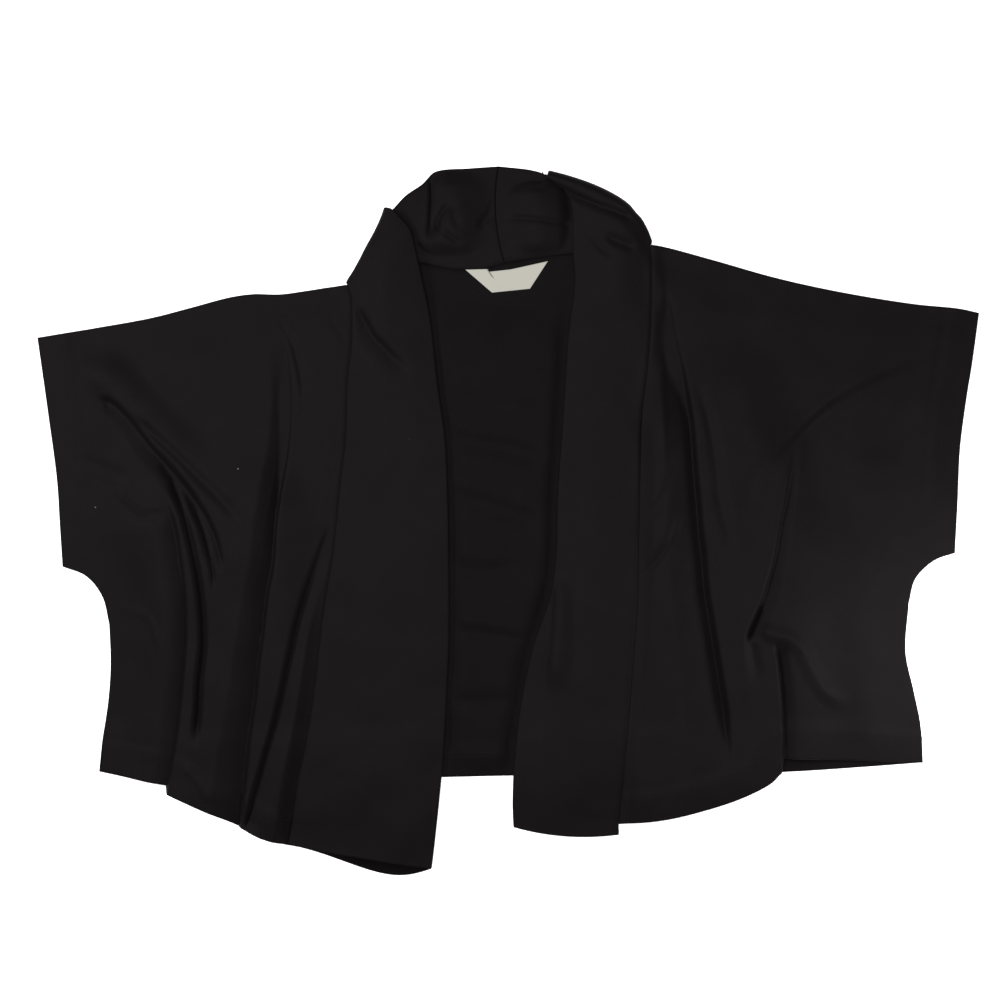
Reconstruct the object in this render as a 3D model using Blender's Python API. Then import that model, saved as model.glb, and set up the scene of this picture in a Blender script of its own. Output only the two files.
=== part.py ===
"""Open-front knitted shrug with kimono sleeves and a doubled shawl band, laid flat face up.

The origin is the middle of the garment's outline, on the surface it lies on. +X runs from the
wearer's right sleeve to the left one, +Y from hem to neck and +Z up off the surface.
Every table and constant is in millimetres, and wall() turns the finished grids into metres.
"""
from collections import namedtuple

import bmesh
import bpy
import numpy as np

# Cloth
JERSEY = 1.4          # one layer of the jersey with its loft
TURN_UP = 0.9         # what a turned and stitched hem adds
HEM_DEPTH = 21.0      # hem edge to its stitching
BAND = 2.8            # the shawl band is two layers
LABEL = 0.7           # woven neck label
GAP = 0.3             # between pieces that touch or are sewn together
LOFT = 2.4            # how far a loose front floats off the back

# Mesh steps
SLEEVE_ROWS = 17
UNDERARM_ROWS = 5
SIDE_ROWS = 15
HEM_ROWS = 2
FRONT_COLUMNS = 25
SLEEVE_HEM_COLUMNS = 2
NECK_ROWS = 9
TURN_ROWS = 6
BAND_COLUMNS = 9
SHOULDER_COLUMNS = 7
BACK_HEM_MARGIN = (30.0, 50.0)   # past the stitching, where a front steps down off a hem
DROP = (14.0, 30.0)              # past the back's hem, where a front sinks to the surface
HEM_STEP = 3.0                   # over which a turned hem's thickness comes in
SEAM_EASE = 14.0                 # beside the band, where a front's folds flatten out
EDGE_EASE = 16.0                 # the same beside shoulder, sleeve and side edges
SHOULDER_EASE = (4.0, 16.0)      # below the shoulder, where the band leaves the neckline's gap
HEM_PART_FOLDED = 0.62           # of a front's hem columns that run from the band to the step

# Outline corners
SHOULDER_RIGHT = (-136.0, 200.5)     # wearer's right end of the neckline
SHOULDER_LEFT = (119.5, 234.5)
CENTRE_BACK = (-3.1, 219.0)

# The garment's edges, each from the neck outwards or from the top down
NECK_EDGE_RIGHT = [CENTRE_BACK, (-20.0, 214.6), (-38.0, 213.4), (-57.0, 215.5), (-76.0, 219.0),
                   (-105.0, 214.5), SHOULDER_RIGHT]
NECK_EDGE_LEFT = [CENTRE_BACK, (14.0, 222.0), (38.0, 225.4), (62.0, 227.5), (90.0, 230.5), SHOULDER_LEFT]
SHOULDER_EDGE_RIGHT = [SHOULDER_RIGHT, (-153.5, 198.2), (-172.0, 195.3), (-194.0, 192.4), (-217.0, 192.6),
                       (-236.0, 190.0), (-270.0, 181.0), (-303.0, 172.5), (-352.0, 163.6), (-400.0, 155.5)]
SHOULDER_EDGE_LEFT = [SHOULDER_LEFT, (131.0, 233.0), (173.0, 221.8), (227.0, 206.5), (281.0, 194.6),
                      (343.0, 184.4), (383.0, 180.1), (399.7, 176.5)]
SLEEVE_EDGE_RIGHT = [(-400.0, 155.5), (-391.0, 92.0), (-383.4, 34.6), (-380.9, -4.0), (-378.6, -39.0)]
SLEEVE_EDGE_LEFT = [(399.7, 176.5), (393.8, 133.3), (389.5, 107.0), (383.6, 61.8), (381.6, 17.6),
                    (379.2, -27.5)]
UNDERARM_RIGHT = [(-378.6, -39.0), (-358.6, -47.1), (-345.2, -64.1), (-339.2, -88.0)]
UNDERARM_LEFT = [(379.2, -27.5), (362.2, -33.5), (346.0, -49.0), (340.3, -70.1)]
SIDE_EDGE_RIGHT = [(-339.2, -88.0), (-338.0, -122.0), (-340.0, -152.6), (-344.9, -186.6)]
SIDE_EDGE_LEFT = [(340.3, -70.1), (337.6, -111.8), (344.2, -143.2), (349.5, -168.8), (351.3, -185.0)]
SIDE_FOOT_RIGHT = (-347.5, -213.0)
SIDE_FOOT_LEFT = (352.0, -205.6)
BACK_HEM = [SIDE_FOOT_RIGHT, (-288.0, -221.0), (-160.0, -220.0), (-56.0, -218.1), (4.0, -216.8),
            (120.0, -215.5), (230.0, -213.9), (300.0, -209.6), SIDE_FOOT_LEFT]
FRONT_SEAM_RIGHT = [SHOULDER_RIGHT, (-133.0, 187.8), (-133.0, 152.1), (-136.4, 120.0), (-138.2, 68.7),
                    (-142.6, 30.4), (-149.2, -30.9), (-155.2, -67.5), (-160.3, -106.6), (-165.4, -150.9),
                    (-173.0, -196.9), (-178.0, -220.0), (-183.6, -255.0)]
FRONT_SEAM_LEFT = [SHOULDER_LEFT, (120.6, 222.0), (120.6, 170.8), (117.4, 128.0), (113.0, 90.0),
                   (111.2, 30.0), (110.2, -20.0), (109.3, -67.5), (106.9, -101.5), (103.0, -152.6),
                   (98.4, -203.7), (95.4, -237.0)]
FRONT_FOOT_RIGHT = (-187.5, -276.0)
FRONT_FOOT_LEFT = (93.6, -258.0)
BAND_FOOT_LEFT = (93.9, -267.4)
FRONT_HEM_RIGHT = [FRONT_FOOT_RIGHT, (-212.2, -268.3), (-236.0, -255.6), (-259.0, -245.4), (-288.0, -231.9)]
FRONT_STEP_RIGHT = (-289.2, -224.6)
FRONT_HEM_LEFT = [FRONT_FOOT_LEFT, (120.6, -255.6), (153.7, -248.8), (196.3, -235.1), (222.7, -221.5),
                  (230.2, -213.4)]
FRONT_STEP_LEFT = (231.8, -201.2)

# Folds of the cloth: crest height (a trough is negative), half width to the left and right of its
# run, the lengths over which it rises and dies away, and the run itself
Fold = namedtuple("Fold", "height left right rise fall run")
FOLDS_RIGHT = [
    Fold(7.5, 30, 20, 40, 60, [(-343, 132), (-314, 84), (-279, 46), (-250, 5), (-231, -38), (-228, -68)]),
    Fold(-3.5, 18, 22, 20, 70, [(-346, 94), (-326, 88), (-305, 58), (-278, 16), (-264, -34), (-260, -102)]),
    Fold(10.5, 15, 12, 60, 4, [(-292, 18), (-278, -34), (-270, -102), (-271, -136), (-279, -204),
                               (-288, -232)]),
    Fold(13.0, 30, 26, 50, 4, [(-199, 179), (-186, 120), (-184, 86), (-192, 9), (-210, -119), (-235, -253)]),
    Fold(-4.0, 16, 16, 50, 30, [(-147, 9), (-167, -46), (-186, -110), (-200, -170), (-218, -238)]),
    Fold(2.5, 20, 18, 40, 40, [(-391, 20), (-360, 24), (-325, 22)]),
]
FOLDS_LEFT = [
    Fold(4.5, 12, 12, 25, 60, [(131, 222), (132, 145), (137, 69), (140, 40)]),
    Fold(-4.0, 14, 14, 40, 40, [(139, 188), (146, 128), (153, 77), (157, 18), (160, -50), (166, -119),
                                (178, -195)]),
    Fold(12.0, 28, 16, 40, 60, [(146, 158), (160, 103), (168, 35), (176, -34), (179, -102), (197, -165)]),
    Fold(8.5, 20, 26, 60, 30, [(363, 137), (308, 111), (261, 81), (236, 52), (227, 0), (218, -50), (196, -86)]),
    Fold(5.5, 22, 18, 12, 40, [(214, -85), (240, -100), (255, -127), (274, -150), (292, -158)]),
    Fold(12.0, 12, 34, 60, 4, [(212, -92), (219, -123), (223, -144), (226, -170), (228, -214)]),
]
FOLDS_BAND_RIGHT = [
    Fold(-5.0, 12, 12, 8, 30, [(-137, 196), (-125, 181), (-111, 156), (-98, 141), (-78, 128)]),
]
FOLDS_BAND_LEFT = [
    Fold(3.4, 22, 7, 20, 30, [(43, -40), (43, -84), (40, -120), (38, -150)]),
]

# Sections of the shawl band. Where it lies behind the neck: the neckline's x, the free edge, the
# middle's bow off the straight line between them, and its crown over the surface
Behind = namedtuple("Behind", "seam_x free_x free_y bow_x bow_y crown")
BEHIND_RIGHT = [
    Behind(-3.1, -8.3, 301.3, -5.0, 0.0, 0.0),
    Behind(-25.0, -33.0, 299.6, -3.0, 0.0, 2.2),
    Behind(-50.0, -61.5, 297.0, -1.0, 0.0, 3.0),
    Behind(-76.0, -72.5, 286.5, 0.0, 0.0, 2.0),
    Behind(-105.0, -87.0, 276.5, 0.0, 0.0, 1.0),
    Behind(-136.0, -99.0, 264.0, 5.0, 2.2, 0.0),
]
BEHIND_LEFT = [
    Behind(-3.1, -8.3, 301.3, -5.0, 0.0, 0.0),
    Behind(20.0, 14.0, 299.0, -2.0, 0.0, 2.2),
    Behind(48.0, 25.0, 296.8, 3.0, 2.0, 3.0),
    Behind(85.0, 29.5, 294.6, 10.0, 4.0, 1.0),
    Behind(119.5, 32.5, 291.6, 16.0, 3.8, 0.0),
]
# Where it lies in front: the seam's y, the free edge, the bow, and how far seam, middle and free
# edge float over what carries them. The first row is the fold over the shoulder.
Section = namedtuple("Section", "seam_y free_x free_y bow_x bow_y seam_up crown_up free_up")
SECTIONS_RIGHT = [
    Section(200.5, -99.0, 264.0, 5.0, 2.2, 2.3, 13.5, 9.0),
    Section(192.0, -90.5, 255.5, 5.0, 2.0, 2.0, 14.5, 8.0),
    Section(182.0, -83.5, 247.0, 4.0, 1.0, 1.8, 14.0, 7.0),
    Section(166.0, -79.3, 232.0, 2.0, 0.0, 1.4, 12.0, 6.0),
    Section(140.0, -72.6, 202.0, 0.0, 0.0, 1.0, 9.0, 4.5),
    Section(110.0, -66.4, 172.0, 0.0, 0.0, 0.8, 6.0, 3.0),
    Section(75.0, -60.2, 118.0, 0.0, 0.0, 0.6, 4.5, 2.5),
    Section(40.0, -53.6, 70.0, 0.0, 0.0, 0.6, 4.0, 2.5),
    Section(0.0, -51.2, 14.0, 0.0, 0.0, 0.6, 4.0, 2.5),
    Section(-50.0, -50.5, -46.0, 0.0, 0.0, 0.6, 4.5, 2.5),
    Section(-100.0, -50.5, -100.0, 0.0, 0.0, 0.6, 4.5, 2.0),
    Section(-150.0, -52.6, -152.0, 0.0, 0.0, 0.6, 4.0, 2.0),
    Section(-200.0, -55.6, -206.0, 0.0, 0.0, 0.8, 4.0, 2.0),
    Section(-255.0, -62.3, -272.0, 0.0, 0.0, 0.4, 3.0, 1.5),
    Section(-276.0, -65.2, -296.4, 0.0, -1.0, 0.2, 2.0, 1.0),
]
SECTIONS_LEFT = [
    Section(234.5, 32.5, 291.6, 16.0, 3.8, 2.3, 10.5, 7.5),
    Section(226.0, 42.5, 284.0, 11.0, 3.0, 2.0, 10.5, 7.0),
    Section(214.0, 51.5, 273.5, 7.0, 2.0, 1.8, 9.5, 6.5),
    Section(198.0, 54.3, 258.0, 3.0, 1.0, 1.4, 8.0, 6.0),
    Section(172.0, 54.7, 230.0, 1.0, 0.0, 1.0, 6.0, 4.5),
    Section(142.0, 56.2, 200.0, 0.0, 0.0, 0.8, 4.5, 3.0),
    Section(108.0, 51.0, 158.0, 0.0, 0.0, 0.6, 4.0, 2.5),
    Section(64.0, 46.2, 86.0, 0.0, 0.0, 0.6, 4.0, 2.5),
    Section(14.0, 41.6, 20.0, 0.0, 0.0, 0.6, 4.0, 2.5),
    Section(-26.0, 40.4, -26.0, 0.0, 0.0, 0.6, 4.5, 2.5),
    Section(-60.0, 36.0, -62.0, 0.0, 0.0, 0.6, 4.5, 1.5),
    Section(-105.0, 21.0, -107.0, 0.0, 0.0, 0.6, 4.5, 0.5),
    Section(-155.0, 10.3, -157.0, 0.0, 0.0, 0.6, 4.5, 0.5),
    Section(-204.0, 4.8, -206.0, 0.0, 0.0, 0.8, 4.0, 1.5),
    Section(-237.0, 3.5, -238.0, 0.0, 0.0, 0.4, 3.0, 1.5),
    Section(-267.4, 4.2, -260.8, 0.0, -4.6, 0.2, 2.0, 1.0),
]
UNDER_LAP = 10.0      # how far the right band's lower layer shows below its upper one
UNDER_LAP_SKEW = 1.9  # sets it deepest two thirds of the way to the free edge

# Blank neck label, sewn into the neckline
LABEL_TOP = ((-36.5, 212.6), (33.4, 220.2))
LABEL_FOOT = ((-13.9, 193.8), (18.4, 197.2))

BLACK_JERSEY = (0.0116, 0.0103, 0.0108, 1.0)
CREAM_TAPE = (0.871, 0.791, 0.644, 1.0)


def curve(points, detail=12):
    """A smooth line through the points, as many short steps between each two."""
    p = np.asarray(points, float)
    if len(p) == 2:
        return p
    step = np.sqrt(np.linalg.norm(np.diff(p, axis=0), axis=1))[:, None]
    slope = np.diff(p, axis=0) / step
    inner = (slope[:-1] * step[1:] + slope[1:] * step[:-1]) / (step[:-1] + step[1:])
    lean = np.vstack([slope[:1], inner, slope[-1:]])
    f = np.arange(detail)[:, None] / detail
    parts = []
    for k in range(len(p) - 1):
        start = (2 * f**3 - 3 * f**2 + 1) * p[k] + (f**3 - 2 * f**2 + f) * step[k] * lean[k]
        end = (3 * f**2 - 2 * f**3) * p[k + 1] + (f**3 - f**2) * step[k] * lean[k + 1]
        parts.append(start + end)
    return np.vstack(parts + [p[-1:]])


def even(points, steps):
    """The smooth line through the points, cut into even steps."""
    line = curve(points)
    run = np.concatenate([[0.0], np.cumsum(np.linalg.norm(np.diff(line, axis=0), axis=1))])
    at = np.linspace(0.0, run[-1], steps + 1)
    return np.stack([np.interp(at, run, line[:, k]) for k in range(2)], axis=1)


def legs(*parts):
    """Joins (points, steps) legs end to end into one edge."""
    cut = [even(points, steps) for points, steps in parts]
    return np.vstack([cut[0]] + [c[1:] for c in cut[1:]])


def short_of(points, length):
    """The edge without its last stretch, and that stretch."""
    line = curve(points)
    run = np.concatenate([[0.0], np.cumsum(np.linalg.norm(np.diff(line, axis=0), axis=1))])
    at = run[-1] - length
    cut = np.array([np.interp(at, run, line[:, k]) for k in range(2)])
    return np.vstack([line[run < at], cut]), np.vstack([cut, line[run > at]])


def patch(top, bottom, inner, outer):
    """A grid of points that fills the space between four edges."""
    s = np.linspace(0, 1, len(top))[None, :, None]
    t = np.linspace(0, 1, len(inner))[:, None, None]
    across = (1 - s) * inner[:, None] + s * outer[:, None]
    down = (1 - t) * top[None] + t * bottom[None]
    corners = (1 - t) * ((1 - s) * top[0] + s * top[-1]) + t * ((1 - s) * bottom[0] + s * bottom[-1])
    return across + down - corners


def nearest(points, line):
    """Signed distance to a line (plus to its left) and how far along it the nearest point is."""
    best = np.full(points.shape[:-1], np.inf)
    side = np.zeros_like(best)
    along = np.zeros_like(best)
    passed = 0.0
    for a, b in zip(line[:-1], line[1:]):
        run = b - a
        length = np.linalg.norm(run)
        rel = points - a
        f = np.clip((rel @ run) / length**2, 0, 1)
        off = rel - f[..., None] * run
        far = np.linalg.norm(off, axis=-1)
        turn = run[0] * rel[..., 1] - run[1] * rel[..., 0]
        closer = far < best
        best = np.where(closer, far, best)
        side = np.where(closer, np.where(turn >= 0, 1.0, -1.0), side)
        along = np.where(closer, passed + f * length, along)
        passed += length
    return best * side, along, passed


def distance(points, *edges):
    """Distance to the nearest of several edges."""
    return np.min([np.abs(nearest(points, curve(edge))[0]) for edge in edges], axis=0)


def ramp(x, low, high):
    """Smooth step from 0 at low to 1 at high."""
    f = np.clip((x - low) / (high - low), 0, 1)
    return f * f * (3 - 2 * f)


def fold_height(points, folds):
    """Sum of the folds' heights at each point."""
    total = np.zeros(points.shape[:-1])
    for fold in folds:
        off, along, length = nearest(points, curve(fold.run))
        width = np.where(off > 0, fold.left, fold.right)
        bell = np.clip(1 - (off / width) ** 2, 0, None) ** 2
        ends = ramp(along, -1, fold.rise) * ramp(length - along, -1, fold.fall)
        total += fold.height * bell * ends
    return total


def at_least_zero(height, softness=1.0):
    """Keeps a height from going below nothing, without a sharp edge."""
    eased = np.clip(height + softness, 0, 2 * softness) ** 2 / (4 * softness)
    return np.where(height > softness, height, eased)


def past_hem(points):
    """0 over the back, rising to 1 where a layer has sunk to the surface past the back's hem."""
    line = curve(BACK_HEM)
    return ramp(np.interp(points[..., 0], line[:, 0], line[:, 1]) - points[..., 1], *DROP)


def back_hems(points, full, none):
    """1 within the first distance of the back's turned hems, 0 past the second."""
    away = distance(points, BACK_HEM, SLEEVE_EDGE_RIGHT, SLEEVE_EDGE_LEFT)
    return 1 - ramp(away, full, none)


def carried(points):
    """Underside height of a layer on the back or, past the back's hem, on the surface."""
    on_back = JERSEY + GAP + TURN_UP * back_hems(points, *BACK_HEM_MARGIN)
    return on_back * (1 - past_hem(points))


def seam_row(sections, y, column):
    """A smooth reading of one column of the band's sections at the seam heights y."""
    table = np.array([[section.seam_y, getattr(section, column)] for section in sections])
    line = curve(table)[::-1]
    return np.interp(y, line[:, 0], line[:, 1])


def material(name, colour, roughness):
    """A plain cloth finish."""
    finish = bpy.data.materials.new(name)
    finish.use_nodes = True
    shader = finish.node_tree.nodes["Principled BSDF"]
    shader.inputs["Base Color"].default_value = colour
    shader.inputs["Roughness"].default_value = roughness
    shader.inputs["Metallic"].default_value = 0.0
    return finish


def wall(name, upper, lower, finish):
    """One closed wall between two grids of points."""
    rows, columns = upper.shape[:2]
    points = np.concatenate([upper.reshape(-1, 3), lower.reshape(-1, 3)]) / 1000
    index = np.arange(rows * columns).reshape(rows, columns)
    quads = np.stack([index[:-1, :-1], index[1:, :-1], index[1:, 1:], index[:-1, 1:]], axis=-1).reshape(-1, 4)
    rim = np.concatenate([index[0, :-1], index[:-1, -1], index[-1, :0:-1], index[:0:-1, 0]])
    after = np.roll(rim, -1)
    under = rows * columns
    faces = quads.tolist() + (quads[:, ::-1] + under).tolist()
    faces += np.stack([rim, after, after + under, rim + under], axis=1).tolist()
    mesh = bpy.data.meshes.new(name)
    mesh.from_pydata(points.tolist(), [], faces)
    shape = bmesh.new()
    shape.from_mesh(mesh)
    bmesh.ops.recalc_face_normals(shape, faces=shape.faces)
    shape.to_mesh(mesh)
    shape.free()
    mesh.materials.append(finish)
    mesh.shade_smooth()
    mesh.set_sharp_from_angle(angle=1.0)
    piece = bpy.data.objects.new(name, mesh)
    bpy.context.collection.objects.link(piece)
    return piece


def normals(grid):
    """Unit normals of a grid whose rows run down and columns run outwards."""
    cross = np.cross(np.gradient(grid, axis=0), np.gradient(grid, axis=1))
    return cross / np.linalg.norm(cross, axis=-1, keepdims=True)


def with_height(plan, height):
    """Plan points and their heights as one grid."""
    return np.dstack([plan, height])


def make_back(finish):
    """The back, cut in one with its half sleeves, flat on the surface, hems turned to the inside."""
    side_right = legs((SLEEVE_EDGE_RIGHT, 7), (UNDERARM_RIGHT, 3), (SIDE_EDGE_RIGHT, 6),
                      ([SIDE_EDGE_RIGHT[-1], SIDE_FOOT_RIGHT], HEM_ROWS))
    side_left = legs((SLEEVE_EDGE_LEFT, 7), (UNDERARM_LEFT, 3), (SIDE_EDGE_LEFT, 6),
                     ([SIDE_EDGE_LEFT[-1], SIDE_FOOT_LEFT], HEM_ROWS))
    right, right_end = short_of(SHOULDER_EDGE_RIGHT, HEM_DEPTH + 2)
    left, left_end = short_of(SHOULDER_EDGE_LEFT, HEM_DEPTH + 2)
    top = legs((right_end[::-1], SLEEVE_HEM_COLUMNS), (right[::-1], SHOULDER_COLUMNS),
               (NECK_EDGE_RIGHT[::-1], NECK_ROWS), (NECK_EDGE_LEFT, NECK_ROWS),
               (left, SHOULDER_COLUMNS), (left_end, SLEEVE_HEM_COLUMNS))
    hem = even(BACK_HEM, len(top) - 1)
    plan = patch(top, hem, side_right, side_left)
    thick = JERSEY + TURN_UP * back_hems(plan, HEM_DEPTH, HEM_DEPTH + HEM_STEP)
    return wall("back", with_height(plan, thick), with_height(plan, 0 * thick), finish)


def make_front(name, finish, hand, seam, foot, hem, step, side_foot, side, underarm, sleeve, shoulder,
               folds, sections):
    """One front with its half sleeve, loose over the back, its folds running off the hem."""
    inner = legs((seam, SLEEVE_ROWS + UNDERARM_ROWS + SIDE_ROWS), ([seam[-1], foot], HEM_ROWS))
    outer = legs((sleeve, SLEEVE_ROWS), (underarm, UNDERARM_ROWS), (side, SIDE_ROWS),
                 ([side[-1], side_foot], HEM_ROWS))
    upper, upper_end = short_of(shoulder, HEM_DEPTH + 2)
    top = legs((upper, FRONT_COLUMNS), (upper_end, SLEEVE_HEM_COLUMNS))
    hem_steps = len(top) - 1
    folded = round(hem_steps * HEM_PART_FOLDED)
    bottom = legs((hem, folded), ([hem[-1], step], 1), ([step, side_foot], hem_steps - folded - 1))
    plan = patch(top, bottom, inner, outer)
    from_seam = distance(plan, seam + [foot])
    from_edge = distance(plan, shoulder, sleeve, underarm, side + [side_foot])
    loft = LOFT * (1 - past_hem(plan))
    loose = (loft + fold_height(plan, folds)) * ramp(from_seam, 0, SEAM_EASE) * ramp(from_edge, 0, EDGE_EASE)
    beside_band = seam_row(sections, plan[:, :1, 1], "seam_up") * (1 - ramp(from_seam, 0, SEAM_EASE))
    rest = carried(plan) + JERSEY / 2
    middle = with_height(plan, rest + at_least_zero(loose) + beside_band)
    up = normals(middle) * hand
    up[:, 0] = (0, 0, 1)
    hems = 1 - ramp(distance(plan, hem + [step, side_foot], sleeve), HEM_DEPTH, HEM_DEPTH + HEM_STEP)
    skin = middle + up * (JERSEY / 2 + TURN_UP * hems[..., None])
    return wall(name, skin, middle - up * JERSEY / 2, finish)


def band_rows_behind(neck, behind, hand):
    """Plan and height of the band's rows behind the neck, from the centre back to the shoulder."""
    seam = even(neck, NECK_ROWS)
    table = curve(np.array(behind))
    order = np.argsort(table[:, 0] * hand)
    x = seam[:, 0] * hand
    free_x, free_y, bow_x, bow_y, crown = [np.interp(x, table[order, 0] * hand, table[order, k])
                                           for k in range(1, 6)]
    seam = seam + [0.0, GAP]
    seam[0, 0] += hand * GAP / 2
    free_x[0] += hand * GAP / 2
    v = np.linspace(0, 1, BAND_COLUMNS + 1)
    plan = across(seam, np.stack([free_x, free_y], 1), np.stack([bow_x, bow_y], 1), v)
    return with_height(plan, BAND / 2 + crown[:, None] * (4 * v * (1 - v))[None] ** 2)


def across(seam, free, bow, v):
    """Points of each row from the seam to the free edge, bowed off the straight line."""
    v = v[None, :, None]
    return seam[:, None] * (1 - v) + free[:, None] * v + bow[:, None] * 4 * v * (1 - v)


def band_rows_front(seam, sections, folds, hand):
    """Plan and height of the band's rows over the front, from the shoulder to its foot."""
    y = seam[:, 1]
    read = {column: seam_row(sections, y, column) for column in Section._fields[1:]}
    v = np.linspace(0, 1, BAND_COLUMNS + 1)
    free = np.stack([read["free_x"], read["free_y"]], 1)
    bow = np.stack([read["bow_x"], read["bow_y"]], 1)
    beside = np.stack([np.full(len(y), -hand * GAP), GAP * (1 - ramp(y[0] - y, *SHOULDER_EASE))], 1)
    plan = across(seam + beside, free, bow, v)
    rising = read["seam_up"][:, None] + (read["crown_up"] - read["seam_up"])[:, None] * ramp(v, 0, 0.5)
    falling = read["crown_up"][:, None] - (read["crown_up"] - read["free_up"])[:, None] * (2 * v - 1) ** 2
    up = np.where(v < 0.5, rising, falling)
    up = up + fold_height(plan, folds) * ramp(distance(plan, seam), 0, 10)
    return with_height(plan, carried(plan) + BAND / 2 + at_least_zero(up))


def band_turn(top, hand):
    """The rows that carry the band round its fold over the shoulder, from below to above."""
    half = (top[:, 2] - BAND / 2) / 2
    run = np.gradient(top[:, :2], axis=0)
    out = hand * np.stack([run[:, 1], -run[:, 0]], 1)
    out = out / np.linalg.norm(out, axis=1, keepdims=True)
    rows = []
    for angle in np.linspace(-90, 90, TURN_ROWS + 1)[1:-1] * np.pi / 180:
        plan = top[:, :2] + out * (half * np.cos(angle))[:, None]
        rows.append(np.column_stack([plan, BAND / 2 + half * (1 + np.sin(angle))]))
    return np.array(rows)


def make_band(name, finish, hand, neck, behind, seam, foot, end, sections, folds, under_lap):
    """One half of the shawl band: behind the neck, over the shoulder and down the front."""
    rows = SLEEVE_ROWS + UNDERARM_ROWS + SIDE_ROWS
    edge = legs((seam, rows), ([seam[-1], foot], HEM_ROWS))
    if end != foot:
        edge = np.vstack([edge, end])
    front = band_rows_front(edge, sections, folds, hand)
    turn = band_turn(front[0], hand)
    back = band_rows_behind(neck, behind, hand)[:-1]
    under = front[0] * [1, 1, 0] + [0, 0, BAND / 2]
    middle = np.concatenate([back, under[None], turn, front])
    up = normals(middle) * -hand
    up[-len(front) + 1:, 0] = (0, 0, 1)
    upper = middle + up * BAND / 2
    lower = middle - up * BAND / 2
    v = np.linspace(0, 1, BAND_COLUMNS + 1)
    lower[-1, :, 1] -= under_lap * np.sin(np.pi * v**UNDER_LAP_SKEW)
    for grid in (upper, lower):
        grid[..., 2] = np.maximum(grid[..., 2], 0)
    return wall(name, upper, lower, finish)


def make_label(finish):
    """The blank label, flat on the inside of the back, its upper edge in the neck seam."""
    columns = 6
    top = even(LABEL_TOP, columns)
    foot = even(LABEL_FOOT, columns)
    plan = np.stack([top, (top + foot) / 2, foot])
    height = np.full(plan.shape[:2], JERSEY + GAP)
    return wall("neck_label", with_height(plan, height + LABEL), with_height(plan, height), finish)


def main():
    for old in list(bpy.data.objects):
        bpy.data.objects.remove(old)
    jersey = material("black_jersey", BLACK_JERSEY, 0.9)
    tape = material("cream_tape", CREAM_TAPE, 0.7)
    make_back(jersey)
    make_front("front_right", jersey, -1, FRONT_SEAM_RIGHT, FRONT_FOOT_RIGHT, FRONT_HEM_RIGHT,
               FRONT_STEP_RIGHT, SIDE_FOOT_RIGHT, SIDE_EDGE_RIGHT, UNDERARM_RIGHT, SLEEVE_EDGE_RIGHT,
               SHOULDER_EDGE_RIGHT, FOLDS_RIGHT, SECTIONS_RIGHT)
    make_front("front_left", jersey, 1, FRONT_SEAM_LEFT, FRONT_FOOT_LEFT, FRONT_HEM_LEFT,
               FRONT_STEP_LEFT, SIDE_FOOT_LEFT, SIDE_EDGE_LEFT, UNDERARM_LEFT, SLEEVE_EDGE_LEFT,
               SHOULDER_EDGE_LEFT, FOLDS_LEFT, SECTIONS_LEFT)
    make_band("collar_band_right", jersey, -1, NECK_EDGE_RIGHT, BEHIND_RIGHT, FRONT_SEAM_RIGHT,
              FRONT_FOOT_RIGHT, FRONT_FOOT_RIGHT, SECTIONS_RIGHT, FOLDS_BAND_RIGHT, UNDER_LAP)
    make_band("collar_band_left", jersey, 1, NECK_EDGE_LEFT, BEHIND_LEFT, FRONT_SEAM_LEFT,
              FRONT_FOOT_LEFT, BAND_FOOT_LEFT, SECTIONS_LEFT, FOLDS_BAND_LEFT, 0.0)
    make_label(tape)


main()
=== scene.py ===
"""The looks of the knitted shrug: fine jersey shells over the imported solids, with their creases,
turned hems, twin-needle stitching, seams and blank neck label, seen straight from above.

Tables and constants are in millimetres, as in the part's own source. make_mesh() turns them
into metres.
"""
import math
from collections import namedtuple

import bmesh
import bpy
import mathutils
import numpy as np
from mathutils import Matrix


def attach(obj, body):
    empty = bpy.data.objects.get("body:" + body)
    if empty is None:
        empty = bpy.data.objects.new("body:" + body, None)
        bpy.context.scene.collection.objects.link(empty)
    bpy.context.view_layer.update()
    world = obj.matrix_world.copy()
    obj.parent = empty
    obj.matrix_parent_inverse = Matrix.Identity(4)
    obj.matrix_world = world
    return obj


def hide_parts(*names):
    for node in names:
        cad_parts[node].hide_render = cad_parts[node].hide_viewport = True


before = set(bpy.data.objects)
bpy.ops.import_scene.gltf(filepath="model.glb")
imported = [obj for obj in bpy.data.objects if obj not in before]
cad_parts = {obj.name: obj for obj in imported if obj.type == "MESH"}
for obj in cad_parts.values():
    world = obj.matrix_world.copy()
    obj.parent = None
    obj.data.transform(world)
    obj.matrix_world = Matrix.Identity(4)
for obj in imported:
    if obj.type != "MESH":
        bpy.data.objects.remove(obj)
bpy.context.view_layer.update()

# Cloth
JERSEY = 1.4
TURN_UP = 0.9
HEM_DEPTH = 21.0
BAND = 2.8
LABEL = 0.5
GAP = 0.3
SEWN = -0.2                 # seam edges meet, where the solids stand apart
LOFT = 2.4
ALLOWANCE = (0.15, 9.0)      # extra thickness beside the band seam, and how wide it shows
SEAM_DIP = 0.7              # how far a sewn edge is pulled down into its seam
SEAM_ROLL = 3.5             # over what width
BACK_HEM_MARGIN = (30.0, 50.0)
BACK_LOFT = 3.0              # how far the back stands up in the opening between the bands
BACK_RISE = (3.0, 14.0)       # and where beside their edges it rises
BELOW_LABEL = (-191.0, -150.0)
DROP = (4.0, 62.0)
HEM_STEP = 10.0
SEAM_EASE = 14.0
EDGE_EASE = 50.0
SHOULDER_EASE = (4.0, 16.0)
HEM_PART_FOLDED = 0.62

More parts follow.
